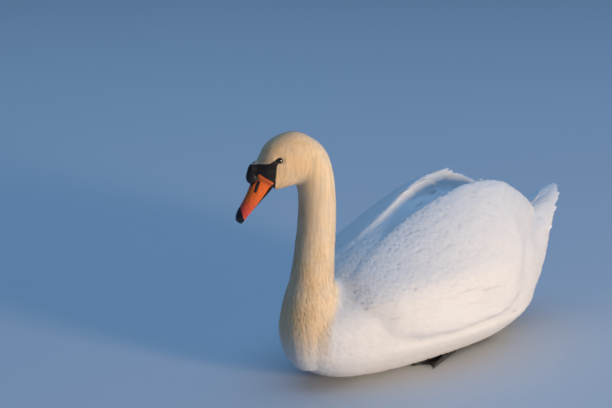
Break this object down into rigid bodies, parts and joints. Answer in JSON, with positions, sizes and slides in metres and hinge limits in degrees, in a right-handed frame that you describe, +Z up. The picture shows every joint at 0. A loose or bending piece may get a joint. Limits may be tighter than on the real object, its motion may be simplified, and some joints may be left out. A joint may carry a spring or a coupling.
{
  "type": "mute swan figure",
  "caption": "Life-size mute swan resting on its belly, neck raised in a curve, head bowed and turned, wings folded, tail raised and fanned, feet tucked under.",
  "frame": {"origin": "middle of the belly's flat, at floor level under the trunk", "axes": "+Z up; -Y the way the body faces, from tail to breast; +X the bird's left"},
  "size_m": [0.332, 0.8032, 0.4395],
  "materials": {
    "white_plumage": "soft white feather",
    "cream_plumage": "short feather stained cream by the water",
    "orange_bill": "satin horn",
    "black_skin": "smooth bare skin",
    "leg_scale": "matt scaled skin",
    "dark_eye": "wet and glossy"
  },
  "bodies": {
    "root": {"head": "cream_plumage", "neck_upper": "cream_plumage", "neck_middle": "cream_plumage", "neck_lower": "cream_plumage", "trunk": "white_plumage", "tail": "white_plumage", "wing_left": "white_plumage", "wing_right": "white_plumage", "bill_upper": "orange_bill", "bill_lower": "black_skin", "knob": "black_skin", "eye_left": "dark_eye", "eye_right": "dark_eye", "leg_left": "leg_scale", "leg_right": "leg_scale"}
  },
  "joints": []
}
